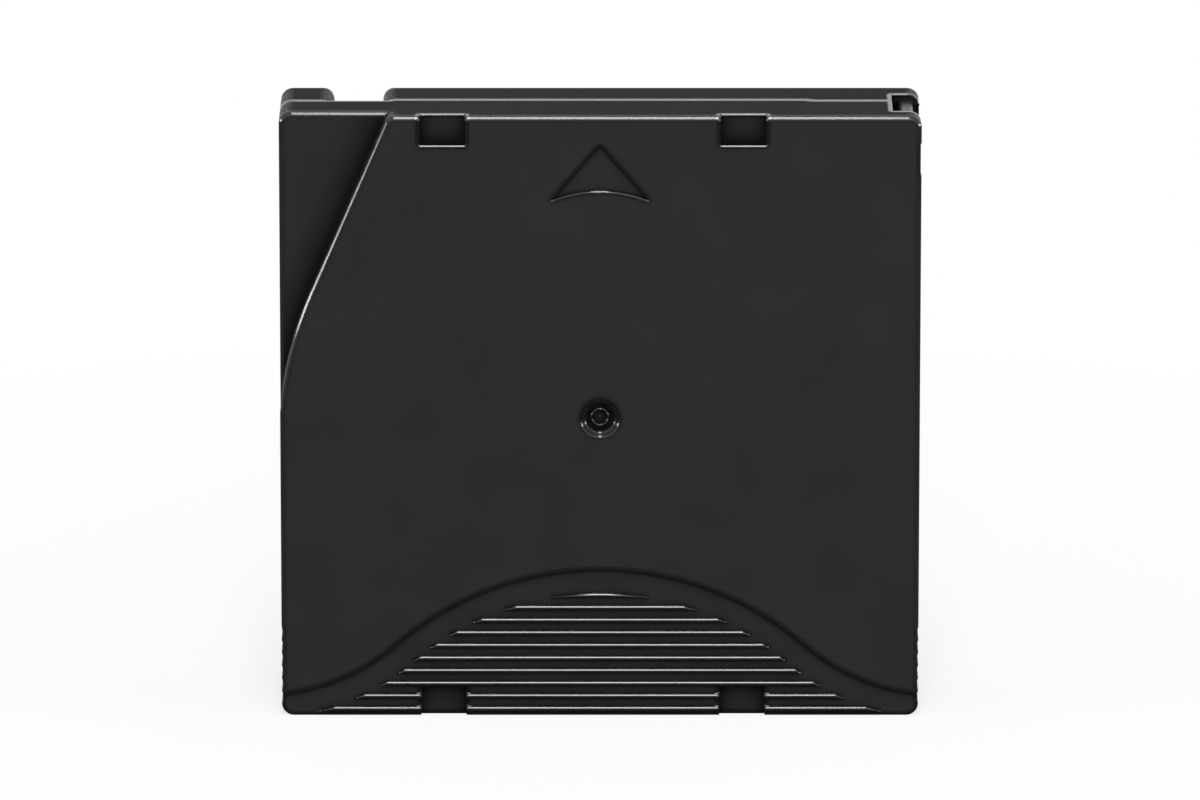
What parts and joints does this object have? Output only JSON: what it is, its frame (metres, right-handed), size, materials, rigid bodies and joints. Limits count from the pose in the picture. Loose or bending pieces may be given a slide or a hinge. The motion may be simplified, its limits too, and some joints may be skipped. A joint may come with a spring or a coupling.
{
  "type": "data tape cartridge",
  "caption": "Square single-reel tape cartridge with an arrow on its face, a sliding corner door, grip ribs and a toothed hub opening underneath.",
  "frame": {"origin": "centre of the rear face, on which the cartridge stands", "axes": "+Z toward the insertion end, -Y out of the arrow face, +X to the door side"},
  "size_m": [0.1054, 0.0228, 0.102],
  "materials": {
    "case_plastic": "fine spark-eroded texture",
    "reel_plastic": "smooth moulded",
    "brake_plastic": "smooth moulded acetal",
    "door_plastic": "smooth moulded",
    "tab_plastic": "smooth moulded",
    "tape_film": "coated film",
    "steel": "bare steel",
    "spring_steel": "drawn wire and rolled strip",
    "screw_steel": "black finish",
    "board": "printed board under lacquer"
  },
  "bodies": {
    "case": {"upper_shell": "case_plastic", "lower_shell": "case_plastic", "case_screws": "screw_steel", "leader_pin": "steel", "tape_clip": "brake_plastic", "leader_tape": "tape_film", "pin_spring_lower": "spring_steel", "pin_spring_upper": "spring_steel", "memory_module": "board", "brake_spring": "spring_steel", "door_spring": "spring_steel"},
    "reel": {"reel_hub": "reel_plastic", "reel_upper_flange": "reel_plastic", "clutch_plate": "steel", "tape_pack": "tape_film"},
    "brake": {"brake_disc": "brake_plastic"},
    "release": {"release_pad": "brake_plastic"},
    "door": {"access_door": "door_plastic"},
    "tab": {"write_protect_tab": "tab_plastic"}
  },
  "joints": [
    {"name": "reel_spin", "type": "hinge", "parent": "case", "child": "reel", "pos_m": [0, 0, 0.051], "axis": [0, 1, 0], "continuous": true},
    {"name": "brake_lift", "type": "slide", "parent": "case", "child": "brake", "axis": [0, -1, 0], "range_m": [0, 0.002], "stiffness_N_per_m": 900, "springref_m": -0.004, "deforming": ["brake_spring"]},
    {"name": "pad_lift", "type": "slide", "parent": "reel", "child": "release", "axis": [0, -1, 0], "range_m": [0, 0.002]},
    {"name": "door_slide", "type": "slide", "parent": "case", "child": "door", "axis": [0, 0, -1], "range_m": [0, 0.0175], "stiffness_N_per_m": 20, "springref_m": -0.012, "deforming": ["door_spring"]},
    {"name": "tab_slide", "type": "slide", "parent": "case", "child": "tab", "axis": [1, 0, 0], "range_m": [0, 0.0058]}
  ],
  "couplings": [
    {"joint": "pad_lift", "follows": "brake_lift", "ratio": 1}
  ]
}
